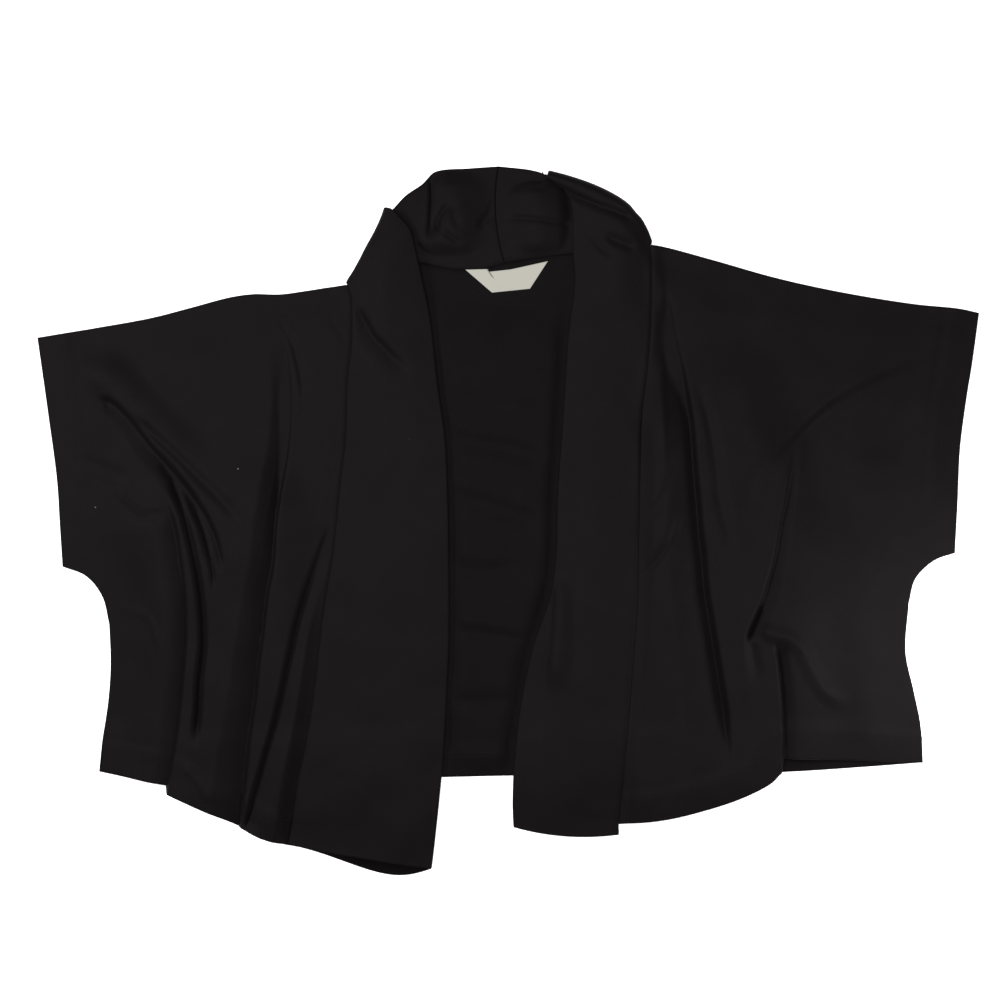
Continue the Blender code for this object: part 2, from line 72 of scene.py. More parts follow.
# Mesh steps
SLEEVE_ROWS = 92
UNDERARM_ROWS = 26
SIDE_ROWS = 66
HEM_ROWS = 12
FRONT_COLUMNS = 180
SLEEVE_HEM_COLUMNS = 14
STEP_COLUMNS = 12
NECK_ROWS = 60
TURN_ROWS = 14
BAND_COLUMNS = 46
SHOULDER_COLUMNS = 44
RIM_STEPS = 4
ROUNDING = 0.45            # how far a cut or turned edge bulges, as a share of its thickness

# Outline corners
SHOULDER_RIGHT = (-136.0, 200.5)
SHOULDER_LEFT = (119.5, 234.5)
CENTRE_BACK = (-3.1, 219.0)

NECK_EDGE_RIGHT = [CENTRE_BACK, (-20.0, 214.6), (-38.0, 213.4), (-57.0, 215.5), (-76.0, 219.0),
                   (-105.0, 214.5), SHOULDER_RIGHT]
NECK_EDGE_LEFT = [CENTRE_BACK, (14.0, 222.0), (38.0, 225.4), (62.0, 227.5), (90.0, 230.5), SHOULDER_LEFT]
SHOULDER_EDGE_RIGHT = [SHOULDER_RIGHT, (-153.5, 198.2), (-172.0, 195.3), (-194.0, 192.4), (-217.0, 192.6),
                       (-236.0, 190.0), (-270.0, 181.0), (-303.0, 172.5), (-352.0, 163.6), (-400.0, 155.5)]
SHOULDER_EDGE_LEFT = [SHOULDER_LEFT, (131.0, 233.0), (173.0, 221.8), (227.0, 206.5), (281.0, 194.6),
                      (343.0, 184.4), (383.0, 180.1), (399.7, 176.5)]
SLEEVE_EDGE_RIGHT = [(-400.0, 155.5), (-391.0, 92.0), (-383.4, 34.6), (-380.9, -4.0), (-378.6, -39.0)]
SLEEVE_EDGE_LEFT = [(399.7, 176.5), (393.8, 133.3), (389.5, 107.0), (383.6, 61.8), (381.6, 17.6),
                    (379.2, -27.5)]
UNDERARM_RIGHT = [(-378.6, -39.0), (-358.6, -47.1), (-345.2, -64.1), (-339.2, -88.0)]
UNDERARM_LEFT = [(379.2, -27.5), (362.2, -33.5), (346.0, -49.0), (340.3, -70.1)]
SIDE_EDGE_RIGHT = [(-339.2, -88.0), (-338.0, -122.0), (-340.0, -152.6), (-344.9, -186.6)]
SIDE_EDGE_LEFT = [(340.3, -70.1), (337.6, -111.8), (344.2, -143.2), (349.5, -168.8), (351.3, -185.0)]
SIDE_FOOT_RIGHT = (-347.5, -213.0)
SIDE_FOOT_LEFT = (352.0, -205.6)
BACK_HEM = [SIDE_FOOT_RIGHT, (-288.0, -221.0), (-160.0, -220.0), (-56.0, -218.1), (4.0, -216.8),
            (120.0, -215.5), (230.0, -213.9), (300.0, -209.6), SIDE_FOOT_LEFT]
FRONT_SEAM_RIGHT = [SHOULDER_RIGHT, (-133.0, 187.8), (-133.0, 152.1), (-136.4, 120.0), (-138.2, 68.7),
                    (-142.6, 30.4), (-149.2, -30.9), (-155.2, -67.5), (-160.3, -106.6), (-165.4, -150.9),
                    (-173.0, -196.9), (-178.0, -220.0), (-183.6, -255.0)]
FRONT_SEAM_LEFT = [SHOULDER_LEFT, (120.6, 222.0), (120.6, 170.8), (117.4, 128.0), (113.0, 90.0),
                   (111.2, 30.0), (110.2, -20.0), (109.3, -67.5), (106.9, -101.5), (103.0, -152.6),
                   (98.4, -203.7), (95.4, -237.0)]
FRONT_FOOT_RIGHT = (-187.5, -276.0)
FRONT_FOOT_LEFT = (93.6, -258.0)
BAND_FOOT_LEFT = (93.9, -267.4)
FRONT_HEM_RIGHT = [FRONT_FOOT_RIGHT, (-212.2, -268.3), (-236.0, -255.6), (-259.0, -245.4), (-288.0, -231.9)]
FRONT_STEP_RIGHT = (-289.2, -224.6)
FRONT_HEM_LEFT = [FRONT_FOOT_LEFT, (120.6, -255.6), (153.7, -248.8), (196.3, -235.1), (222.7, -221.5),
                  (230.2, -213.4)]
FRONT_STEP_LEFT = (231.8, -201.2)

# Folds and creases: crest height (a trough is negative), half widths to the left and right of its
# run, how sharp its crest or bottom is (0 round to 1 sharp, below 0 a flat top whose sides take that
# share of its half width), its width at the start as a share of that at the end, the lengths over
# which it rises and dies away, and the run
Fold = namedtuple("Fold", "height left right sharp start rise fall run")
FADE = 1.25                     # how fast a sharp fold's sides flatten outwards
FOLDS_RIGHT = [
    Fold(5, 34, 30, 0, 0.7, 40, 70, [(-361, 154), (-322, 98), (-284, 58), (-250, 18)]),
    Fold(8, 105, 110, -0.6, 0.8, 90, 2, [(-271, 86), (-252, 18), (-240, -50), (-237, -119), (-240, -178),
         (-252, -289)]),
    Fold(-7, 4, 20, 1, 0.6, 12, 30, [(-348, 103), (-339, 102), (-325, 90), (-312, 74), (-301, 60),
         (-290, 49), (-280, 37), (-269, 23), (-257, 5), (-247, -18), (-241, -45)]),
    Fold(-4, 8, 9, 0.5, 0.8, 16, 20, [(-298, 52), (-286, 40), (-276, 27), (-267, 12), (-262, -4)]),
    Fold(-2.4, 9, 7, 1, 0.7, 24, 34, [(-322, 92), (-303, 75), (-280, 54), (-261, 35), (-238, 12),
         (-222, -10)]),
    Fold(-6, 5, 6, 1, 0.9, 14, 24, [(-288, 36), (-280, 20), (-273, 1), (-267, -23), (-262, -49),
         (-259, -76), (-258, -106), (-261, -136), (-262, -160), (-265, -191)]),
    Fold(-3, 3.5, 4, 1, 1, 8, 16, [(-266, 10), (-259, -6), (-254, -23), (-250, -42), (-249, -61)]),
    Fold(-6.6, 4, 22, 1, 0.8, 34, 2, [(-290, 21), (-283, -4), (-279, -29), (-275, -59), (-274, -95),
         (-276, -128), (-279, -157), (-282, -182), (-286, -208), (-296, -263)]),
    Fold(-8.2, 4.5, 27, 1, 0.5, 80, 2, [(-193, 171), (-189, 145), (-187, 127), (-186, 95), (-188, 62),
         (-193, 30), (-198, -4), (-200, -36), (-205, -62), (-209, -95), (-213, -125), (-216, -154),
         (-220, -180), (-223, -206), (-230, -280)]),
    Fold(-6, 17, 5, 1, 0.6, 26, 14, [(-148, 1), (-157, -21), (-166, -44), (-173, -65), (-179, -86),
         (-184, -110), (-189, -134), (-194, -158), (-199, -178), (-205, -199), (-211, -221), (-225, -267)]),
    Fold(-1.6, 12, 12, 0, 1, 14, 14, [(-378, 50), (-352, 45), (-330, 36), (-324, 28)]),
    Fold(0.7, 4, 5, 0, 0.8, 8, 8, [(-325, 35), (-321, 22), (-312, 15), (-298, 12), (-290, 15)]),
    Fold(-1, 7, 7, 0, 0.7, 12, 10, [(-334, 21), (-322, 8), (-312, 2), (-301, 4), (-291, 9)]),
    Fold(0.8, 5, 6, 0, 0.8, 8, 20, [(-338, -68), (-322, -75), (-305, -82), (-296, -102), (-291, -120)]),
    Fold(-1.2, 5, 5, 0, 0.8, 8, 6, [(-215, 186), (-201, 184), (-192, 178), (-186, 172)]),
    Fold(-2.0, 11, 3, 1, 0.35, 6, 40, [(-197, 172), (-190, 161), (-184, 149), (-179, 132), (-176, 115),
         (-174, 90)]),
    Fold(-1.2, 3, 3, 0.5, 0.7, 6, 3, [(-153, 175), (-149, 168), (-143, 159), (-136, 150)]),
    Fold(-2, 5, 3, 0.5, 0.7, 3, 6, [(-142, 204), (-141, 195), (-138, 185), (-133, 176)]),
    Fold(0.8, 8, 6, 0, 1, 6, 6, [(-274, -207), (-263, -217), (-256, -229), (-253, -238)]),
]
FOLDS_LEFT = [
    Fold(8, 100, 112, -0.6, 0.85, 80, 2, [(155, 154), (167, 69), (182, 1), (193, -67), (197, -136),
         (199, -289)]),
    Fold(-9.6, 4.5, 36, 1, 0.55, 40, 60, [(135, 196), (140, 157), (146, 132), (151, 107), (155, 81),
         (157, 52), (160, 18), (162, -8), (165, -33), (167, -59), (171, -85), (175, -110), (179, -136),
         (183, -161), (185, -187), (187, -212)]),
    Fold(1.2, 4, 8, 0, 1, 20, 40, [(129, 217), (130, 162), (131, 103), (132, 60), (134, 30)]),
    Fold(-2, 12, 7, 1, 0.7, 40, 40, [(158, 123), (166, 96), (171, 73), (175, 47), (178, 18), (184, -8),
         (190, -33)]),
    Fold(-3, 10, 3, 1, 0.7, 3, 20, [(111, -50), (121, -40), (130, -29), (137, -19), (143, -7), (147, 7)]),
    Fold(-1.6, 3, 10, 1, 0.8, 10, 16, [(116, 3), (126, 15), (132, 25), (137, 41), (139, 58)]),
    Fold(2.2, 14, 12, 0.3, 0.7, 70, 40, [(372, 144), (338, 127), (308, 112), (285, 98), (263, 84),
         (248, 70), (240, 53), (232, 33), (226, 7)]),
    Fold(-5.2, 14, 4, 1, 0.5, 30, 10, [(246, 64), (241, 50), (238, 35), (235, 16), (231, -1), (228, -21),
         (224, -40), (218, -61), (213, -74), (207, -88), (202, -102)]),
    Fold(-5, 4, 4, 1, 0.9, 8, 8, [(215, -71), (210, -83), (206, -92), (201, -103)]),
    Fold(-1.6, 6, 14, 0.8, 0.7, 50, 30, [(308, 123), (289, 114), (268, 98), (250, 81), (235, 66), (222, 52),
         (211, 37), (204, 23), (201, 6)]),
    Fold(-3.5, 10, 10, 0.8, 0.8, 10, 40, [(206, -98), (207, -114), (210, -131), (212, -156)]),
    Fold(-6.5, 17, 4, 1, 0.6, 14, 2, [(224, -102), (228, -114), (230, -129), (232, -148), (233, -170),
         (233, -191), (231, -280)]),
    Fold(2.8, 12, 11, 0.7, 0.8, 8, 34, [(212, -91), (224, -96), (236, -99), (246, -107), (253, -120),
         (261, -135), (269, -145), (281, -152), (294, -156)]),
    Fold(1.5, 50, 60, 0, 1, 60, 30, [(274, 43), (265, -33), (274, -102), (282, -170)]),
    Fold(-1.2, 26, 28, 0, 0.7, 40, 40, [(363, 116), (333, 77), (292, 41)]),
    Fold(-0.8, 12, 18, 0, 1, 20, 20, [(163, 195), (197, 190), (231, 183)]),
]
FOLDS_BAND_RIGHT = [
    Fold(-4.5, 4, 20, 1, 0.5, 10, 34, [(-141, 198), (-135, 188), (-126, 177), (-119, 167), (-113, 156),
         (-105, 148), (-99, 141), (-92, 135), (-86, 129), (-78, 122)]),
    Fold(1.0, 22, 22, 0, 1, 60, 60, [(-88, 60), (-92, 1), (-96, -70)]),
]
FOLDS_BAND_LEFT = [
    Fold(3.4, 22, 5, 0, 0.6, 20, 30, [(42, -44), (41, -84), (38, -120), (36, -150)]),
    Fold(-4, 3, 9, 1, 0.7, 8, 12, [(32, 289), (54, 278), (73, 269), (92, 262), (109, 254)]),
    Fold(-3, 6, 8, 0.6, 0.8, 8, 8, [(81, 242), (93, 237), (109, 231)]),
    Fold(-1.6, 3, 5, 1, 0.8, 5, 6, [(70, 241), (80, 231), (89, 224)]),
]
# The same on the part of the band that lies behind the neck
FOLDS_BEHIND_RIGHT = [
    Fold(4.5, 34, 40, 0, 1, 14, 14, [(-48, 297), (-50, 260), (-51, 224)]),
    Fold(-4, 11, 3, 1, 1, 4, 12, [(-66, 297), (-66, 269), (-68, 237)]),
    Fold(-4.5, 5, 6, 1, 0.6, 6, 4, [(-51, 270), (-56, 261), (-60, 252), (-58, 245)]),
    Fold(-2.4, 4, 6, 1, 0.8, 6, 7, [(-56, 247), (-46, 239), (-38, 235)]),
    Fold(-1.6, 6, 3, 1, 1, 6, 6, [(-48, 273), (-47, 260), (-43, 246)]),
    Fold(-2.6, 4, 3, 1, 1, 3, 10, [(-79, 236), (-67, 225), (-53, 220), (-38, 218)]),
    Fold(-3, 3, 11, 1, 0.6, 6, 2, [(-26, 247), (-23, 255), (-17, 261), (-13, 270), (-8, 281), (0, 287),
         (14, 290), (30, 292)]),
]
FOLDS_BEHIND_LEFT = [
    Fold(4, 36, 30, 0, 1, 14, 14, [(23, 293), (24, 260), (23, 224)]),
    Fold(-4, 3, 14, 1, 0.6, 6, 2, [(-26, 247), (-23, 255), (-17, 261), (-13, 270), (-8, 281), (0, 287),
         (14, 290), (30, 292)]),
    Fold(-1.8, 3, 5, 1, 1, 8, 3, [(-1, 258), (23, 256), (52, 252)]),
    Fold(-4.5, 2, 14, 1, 1, 6, 4, [(54, 292), (56, 252), (57, 218)]),
    Fold(-1.6, 3, 3, 1, 1, 3, 3, [(32, 221), (41, 228), (56, 230)]),
]
FOLDS_BACK = [
    Fold(-1.6, 6, 8, 1, 1, 6, 40, [(-73, 190), (-50, 190), (-16, 187), (18, 190)]),
    Fold(-2.4, 6, 18, 0.4, 1, 14, 20, [(-58, 74), (-24, 68), (6, 62), (37, 53)]),
    Fold(-2.2, 6, 18, 0.4, 1, 14, 20, [(-58, 26), (-16, 15), (31, 0)]),
    Fold(-1.7, 12, 12, 0.3, 1, 14, 20, [(-56, -39), (-16, -44), (18, -39)]),
    Fold(-2.1, 6, 14, 0.4, 1, 14, 20, [(-58, -91), (-16, -96), (22, -102)]),
    Fold(-1.5, 10, 10, 0.3, 1, 10, 10, [(-54, -153), (-24, -154), (3, -151)]),
    Fold(1.2, 10, 12, 0, 1, 14, 20, [(-53, 107), (-16, 101), (27, 94)]),
]

# Sections of the shawl band, as in the part's source
Behind = namedtuple("Behind", "seam_x free_x free_y bow_x bow_y crown")
BEHIND_RIGHT = [
    Behind(-3.1, -8.3, 301.3, -5.0, 0.0, 0.0),
    Behind(-25.0, -33.0, 299.6, -3.0, 0.0, 2.2),
    Behind(-50.0, -61.5, 297.0, -1.0, 0.0, 3.0),
    Behind(-76.0, -72.5, 286.5, 0.0, 0.0, 2.0),
    Behind(-105.0, -87.0, 276.5, 0.0, 0.0, 1.0),
    Behind(-136.0, -99.0, 264.0, 5.0, 2.2, 0.0),
]
BEHIND_LEFT = [
    Behind(-3.1, -8.3, 301.3, -5.0, 0.0, 0.0),
    Behind(20.0, 14.0, 299.0, -2.0, 0.0, 2.2),
    Behind(48.0, 25.0, 296.8, 3.0, 2.0, 3.0),
    Behind(85.0, 29.5, 294.6, 10.0, 4.0, 1.0),
    Behind(119.5, 32.5, 291.6, 16.0, 3.8, 0.0),
]
Section = namedtuple("Section", "seam_y free_x free_y bow_x bow_y seam_up crown_up free_up")
SECTIONS_RIGHT = [
    Section(200.5, -99.0, 264.0, 5.0, 2.2, 2.3, 8.5, 9.0),
    Section(192.0, -90.5, 255.5, 5.0, 2.0, 2.0, 9.0, 8.0),
    Section(182.0, -83.5, 247.0, 4.0, 1.0, 1.5, 9.0, 7.0),
    Section(166.0, -79.3, 232.0, 2.0, 0.0, 1.5, 8.5, 6.0),
    Section(140.0, -72.6, 202.0, 0.0, 0.0, 1.5, 7.4, 4.5),
    Section(110.0, -66.4, 172.0, 0.0, 0.0, 1.5, 5.8, 3.0),
    Section(75.0, -60.2, 118.0, 0.0, 0.0, 1.5, 4.5, 2.5),
    Section(40.0, -53.6, 70.0, 0.0, 0.0, 1.5, 4.0, 2.5),
    Section(0.0, -51.2, 14.0, 0.0, 0.0, 1.5, 4.0, 2.5),
    Section(-50.0, -50.5, -46.0, 0.0, 0.0, 1.5, 4.5, 2.5),
    Section(-100.0, -50.5, -100.0, 0.0, 0.0, 1.5, 4.5, 2.0),
    Section(-150.0, -52.6, -152.0, 0.0, 0.0, 1.5, 4.0, 2.0),
    Section(-200.0, -55.6, -206.0, 0.0, 0.0, 1.5, 4.0, 2.0),
    Section(-255.0, -62.3, -272.0, 0.0, 0.0, 0.4, 3.0, 1.5),
    Section(-276.0, -65.2, -296.4, 0.0, -1.0, 0.2, 2.0, 1.0),
]
SECTIONS_LEFT = [
    Section(234.5, 32.5, 291.6, 16.0, 3.8, 2.3, 10.5, 7.5),
    Section(226.0, 42.5, 284.0, 11.0, 3.0, 2.0, 10.5, 7.0),
    Section(214.0, 51.5, 273.5, 7.0, 2.0, 3.4, 9.5, 6.5),
    Section(198.0, 54.3, 258.0, 3.0, 1.0, 3.4, 8.0, 6.0),
    Section(172.0, 54.7, 230.0, 1.0, 0.0, 3.4, 6.0, 4.5),
    Section(142.0, 56.2, 200.0, 0.0, 0.0, 3.4, 4.5, 3.0),
    Section(108.0, 51.0, 158.0, 0.0, 0.0, 3.4, 4.0, 2.5),
    Section(64.0, 46.2, 86.0, 0.0, 0.0, 3.4, 4.0, 2.5),
    Section(14.0, 41.6, 20.0, 0.0, 0.0, 3.4, 4.0, 2.5),
    Section(-26.0, 40.4, -26.0, 0.0, 0.0, 3.4, 4.5, 2.5),
    Section(-60.0, 36.0, -62.0, 0.0, 0.0, 3.4, 4.5, 1.5),
    Section(-105.0, 21.0, -107.0, 0.0, 0.0, 3.4, 4.5, 0.5),
    Section(-155.0, 10.3, -157.0, 0.0, 0.0, 3.4, 4.5, 0.5),
    Section(-204.0, 4.8, -206.0, 0.0, 0.0, 3.4, 4.0, 1.5),
    Section(-237.0, 3.5, -238.0, 0.0, 0.0, 0.4, 3.0, 1.5),
    Section(-267.4, 4.2, -260.8, 0.0, -4.6, 0.2, 2.0, 1.0),
]
UNDER_LAP = 10.0
UNDER_LAP_SKEW = 1.9

# Blank neck label
LABEL_TOP = ((-36.5, 213.4), (-17.5, 213.9), (-16.6, 211.6), (2.0, 213.6), (33.6, 220.6))
LABEL_FOOT = ((-13.9, 193.8), (18.4, 197.2))

LABEL_COLUMNS = 42
LABEL_ROWS = 14

# Cuts as they show, in metres and square metres: width, length and area
BACK_CUT = (0.80, 0.46, 0.27)
FRONT_RIGHT_CUT = (0.27, 0.48, 0.10)
FRONT_LEFT_CUT = (0.31, 0.50, 0.12)
BAND_RIGHT_CUT = (0.11, 0.64, 0.062)
BAND_LEFT_CUT = (0.10, 0.66, 0.056)
LABEL_CUT = (0.071, 0.021, 0.00105)

# Finish
JERSEY_COLOUR = (0.0041, 0.0031, 0.0036)
INSIDE_COLOUR = (0.0039, 0.0030, 0.0035)
THREAD_COLOUR = (0.0072, 0.0060, 0.0065)
CREAM = (0.32, 0.31, 0.27)
JERSEY_SPECULAR = 0.03
INSIDE_SPECULAR = 0.018
JERSEY_ROUGHNESS = 0.55
JERSEY_SHEEN = 0.004
WALE = 0.95
COURSE = 0.75
LINT_SPACING = 0.06
LINT_SIZE = 0.0007
LINT_COLOUR = (0.12, 0.11, 0.11)

# Light
SURROUND = 0.2
FLOOR_GLOW = 0.5
# Disc lamps: size across and power, and where each stands: a broad one overhead, one low from the
# left that leaves the folds' far sides dark, and a small one near the lower right
Lamp = namedtuple("Lamp", "size power place")
LAMPS = [
    Lamp(1.4, 52.0, (-0.16, 0.1, 2.2)),
    Lamp(0.5, 18.0, (-1.3, 0.35, 1.0)),
    Lamp(0.12, 1.15, (0.47, -0.13, 0.16)),
]

# Twin-needle stitching of the hems
STITCH_LINES = (17.6, 20.6)
STITCH = (2.3, 0.42, 3.1)       # length, thickness and pitch of a stitch

# The photograph's own view
FIELD = 851.0                   # what its 1000 pixels span
VIEW_CENTRE = (-7.1, 17.6)
CAMERA_HEIGHT = 1800.0
SENSOR = 36.0


def curve(points, detail=12):
    """A smooth line through the points, as many short steps between each two."""
    p = np.asarray(points, float)
    if len(p) == 2:
        return p
    step = np.sqrt(np.linalg.norm(np.diff(p, axis=0), axis=1))[:, None]
    slope = np.diff(p, axis=0) / step
    inner = (slope[:-1] * step[1:] + slope[1:] * step[:-1]) / (step[:-1] + step[1:])
    lean = np.vstack([slope[:1], inner, slope[-1:]])
    f = np.arange(detail)[:, None] / detail
    parts = []
    for k in range(len(p) - 1):
        start = (2 * f**3 - 3 * f**2 + 1) * p[k] + (f**3 - 2 * f**2 + f) * step[k] * lean[k]
        end = (3 * f**2 - 2 * f**3) * p[k + 1] + (f**3 - f**2) * step[k] * lean[k + 1]
        parts.append(start + end)
    return np.vstack(parts + [p[-1:]])


def even(points, steps, smooth=True):
    """The line through the points, cut into even steps."""
    line = curve(points) if smooth else np.asarray(points, float)
    run = np.concatenate([[0.0], np.cumsum(np.linalg.norm(np.diff(line, axis=0), axis=1))])
    at = np.linspace(0.0, run[-1], steps + 1)
    return np.stack([np.interp(at, run, line[:, k]) for k in range(line.shape[1])], axis=1)


def legs(*parts):
    """Joins (points, steps) legs end to end into one edge."""
    cut = [even(points, steps) for points, steps in parts]
    return np.vstack([cut[0]] + [c[1:] for c in cut[1:]])


def short_of(points, length):
    """The edge without its last stretch, and that stretch."""
    line = curve(points)
    run = np.concatenate([[0.0], np.cumsum(np.linalg.norm(np.diff(line, axis=0), axis=1))])
    at = run[-1] - length
    cut = np.array([np.interp(at, run, line[:, k]) for k in range(2)])
    return np.vstack([line[run < at], cut]), np.vstack([cut, line[run > at]])


def patch(top, bottom, inner, outer):
    """A grid of points that fills the space between four edges."""
    s = np.linspace(0, 1, len(top))[None, :, None]
    t = np.linspace(0, 1, len(inner))[:, None, None]
    across = (1 - s) * inner[:, None] + s * outer[:, None]
    down = (1 - t) * top[None] + t * bottom[None]
    corners = (1 - t) * ((1 - s) * top[0] + s * top[-1]) + t * ((1 - s) * bottom[0] + s * bottom[-1])
    return across + down - corners


def nearest(points, line):
    """Signed distance to a line (plus to its left), the way along it and its length."""
    best = np.full(points.shape[:-1], np.inf)
    side = np.zeros_like(best)
    along = np.zeros_like(best)
    passed = 0.0
    for a, b in zip(line[:-1], line[1:]):
        run = b - a
        length = np.linalg.norm(run)
        rel = points - a
        f = np.clip((rel @ run) / length**2, 0, 1)
        off = rel - f[..., None] * run
        far = np.linalg.norm(off, axis=-1)
        turn = run[0] * rel[..., 1] - run[1] * rel[..., 0]
        closer = far < best
        best = np.where(closer, far, best)
        side = np.where(closer, np.where(turn >= 0, 1.0, -1.0), side)
        along = np.where(closer, passed + f * length, along)
        passed += length
    return best * side, along, passed


def distance(points, *edges):
    """Distance to the nearest of several edges."""
    return np.min([np.abs(nearest(points, curve(edge))[0]) for edge in edges], axis=0)


def ramp(x, low, high):
    """Smooth step from 0 at low to 1 at high."""
    f = np.clip((x - low) / (high - low), 0, 1)
    return f * f * (3 - 2 * f)


def fold_shape(points, folds):
    """The folds' height at each point."""
    total = np.zeros(points.shape[:-1])
    for fold in folds:
        off, along, length = nearest(points, curve(fold.run))
        taper = fold.start + (1 - fold.start) * np.clip(along / length, 0, 1)
        width = np.where(off > 0, fold.left, fold.right) * taper
        share = np.clip(np.abs(off) / width, 0, 1)
        profile = fold.sharp * (1 - share) ** FADE + (1 - fold.sharp) * (1 - share**2) ** 2
        if fold.sharp < 0:
            profile = ramp(1 - share, 0, -fold.sharp)
        profile = profile * ramp(along, -1, fold.rise) * ramp(length - along, -1, fold.fall)
        total += fold.height * profile
    return total


def undulation(points, seed, size, height):
    """Slow uneven swell of cloth that nobody pressed: a few seeded waves of about one size."""
    draw = np.random.default_rng(seed)
    total = np.zeros(points.shape[:-1])
    for _ in range(9):
        angle = draw.uniform(0, math.pi)
        length = size * draw.uniform(0.7, 1.7)
        phase = draw.uniform(0, 2 * math.pi)
        way = points[..., 0] * math.cos(angle) + points[..., 1] * math.sin(angle)
        total += np.sin(way * 2 * math.pi / length + phase)
    return total * height / 3


def at_least_zero(height, softness=1.0):
    """Keeps a height from going below nothing, without a sharp edge."""
    eased = np.clip(height + softness, 0, 2 * softness) ** 2 / (4 * softness)
    return np.where(height > softness, height, eased)


def past_hem(points):
    """0 over the back, rising to 1 where a layer has sunk to the surface past the back's hem."""
    line = curve(BACK_HEM)
    return ramp(np.interp(points[..., 0], line[:, 0], line[:, 1]) - points[..., 1], *DROP)


def back_hems(points, full, none):
    """1 within the first distance of the back's turned hems, 0 past the second."""
    away = distance(points, BACK_HEM, SLEEVE_EDGE_RIGHT, SLEEVE_EDGE_LEFT)
    return 1 - ramp(away, full, none)


def carried(points):
    """Underside height of a layer on the back or, past the back's hem, on the surface."""
    on_back = JERSEY + GAP + TURN_UP * back_hems(points, *BACK_HEM_MARGIN)
    return on_back * (1 - past_hem(points))


def seam_row(sections, y, column):
    """A smooth reading of one column of the band's sections at the seam heights y."""
    table = np.array([[section.seam_y, getattr(section, column)] for section in sections])
    line = curve(table)[::-1]
    return np.interp(y, line[:, 0], line[:, 1])


def free_edge(sections, y):
    """Where the band's free edge runs, at the heights y."""
    line = curve([(section.free_y, section.free_x) for section in sections])[::-1]
    return np.interp(y, line[:, 0], line[:, 1])


def normals(grid):
    """Unit normals of a grid whose rows run down and columns run outwards."""
    cross = np.cross(np.gradient(grid, axis=0), np.gradient(grid, axis=1))
    return cross / np.linalg.norm(cross, axis=-1, keepdims=True)


def with_height(plan, height):
    """Plan points and their heights as one grid."""
    return np.dstack([plan, height])


def softened(grid, times=2):
    """The grid with small kinks smoothed out, its edges kept."""
    grid = grid.copy()
    for _ in range(times):
        inner = grid[:-2, 1:-1] + grid[2:, 1:-1] + grid[1:-1, :-2] + grid[1:-1, 2:]
        grid[1:-1, 1:-1] = grid[1:-1, 1:-1] * 0.5 + inner / 8
    return grid


def edge_ring(rows, columns):
    """Indices of a grid's edge points in order, and of each one's inner neighbour."""
    index = np.arange(rows * columns).reshape(rows, columns)
    inside = index[np.clip(np.arange(rows), 1, rows - 2)][:, np.clip(np.arange(columns), 1, columns - 2)]
    ring = [np.concatenate([g[0, :-1], g[:-1, -1], g[-1, :0:-1], g[:0:-1, 0]]) for g in (index, inside)]
    return ring[0], ring[1]


def make_mesh(name, points, faces, finish, grain=None):
    """An object from points in millimetres, its faces outward and smooth."""
    mesh = bpy.data.meshes.new(name)
    mesh.from_pydata((np.asarray(points) / 1000).tolist(), [], faces)
    if grain is not None:
        layer = mesh.uv_layers.new(name="grain")
        corner = np.zeros(len(mesh.loops), int)
        mesh.loops.foreach_get("vertex_index", corner)
        layer.data.foreach_set("uv", (grain[corner] / 1000).ravel())
    shape = bmesh.new()
    shape.from_mesh(mesh)
    bmesh.ops.recalc_face_normals(shape, faces=shape.faces)
    shape.to_mesh(mesh)
    shape.free()
    mesh.materials.append(finish)
    mesh.shade_smooth()
    piece = bpy.data.objects.new(name, mesh)
    bpy.context.collection.objects.link(piece)
    return piece


def shell(name, upper, lower, grain, finish, parted_foot=False):
    """A closed wall of cloth between two grids, its edge rounded. A parted foot shows two layers."""
    rows, columns = upper.shape[:2]
    top, bottom = upper.reshape(-1, 3).copy(), lower.reshape(-1, 3).copy()
    ring, inside = edge_ring(rows, columns)
    out = (top[ring] + bottom[ring] - top[inside] - bottom[inside]) / 2
    up = top[inside] - bottom[inside]
    up /= np.linalg.norm(up, axis=1, keepdims=True)
    out -= up * np.sum(out * up, axis=1, keepdims=True)
    out /= np.maximum(np.linalg.norm(out, axis=1, keepdims=True), 1e-6)
    thick = np.sum((top[ring] - bottom[ring]) * up, axis=1, keepdims=True)
    bulge = out * thick * ROUNDING
    for side in (top, bottom):
        side[ring] -= bulge
    high, low = top[ring], bottom[ring]
    loops, points = [ring], [top, bottom]
    turns = 2 * RIM_STEPS if parted_foot else RIM_STEPS
    layer = thick / 2
    two_layers = [high + out * layer * aside - up * layer * down
                  for aside, down in ((0.35, 0.15), (0.5, 0.5), (0.35, 0.85), (-0.5, 1.0))]
    two_layers += [low + out * layer * aside + up * layer * rise
                   for aside, rise in ((0.2, 0.98), (0.5, 0.5), (0.35, 0.15))]
    foot = (ring >= (rows - 1) * columns)[:, None]
    for k in range(1, turns):
        angle = math.pi * k / turns
        share = (1 - math.cos(angle)) / 2
        bend = high + (low - high) * share + bulge * math.sin(angle)
        points.append(np.where(foot, two_layers[k - 1], bend) if parted_foot else bend)
        loops.append(2 * rows * columns + (k - 1) * len(ring) + np.arange(len(ring)))
    loops.append(ring + rows * columns)
    index = np.arange(rows * columns).reshape(rows, columns)
    quads = np.stack([index[:-1, :-1], index[1:, :-1], index[1:, 1:], index[:-1, 1:]], axis=-1).reshape(-1, 4)
    faces = quads.tolist() + (quads[:, ::-1] + rows * columns).tolist()
    for a, b in zip(loops[:-1], loops[1:]):
        faces += np.stack([a, np.roll(a, -1), np.roll(b, -1), b], axis=1).tolist()
    flat = grain.reshape(-1, 2)
    grains = np.vstack([flat, flat] + [flat[ring]] * (turns - 1))
    return make_mesh(name, np.vstack(points), faces, finish, grains)


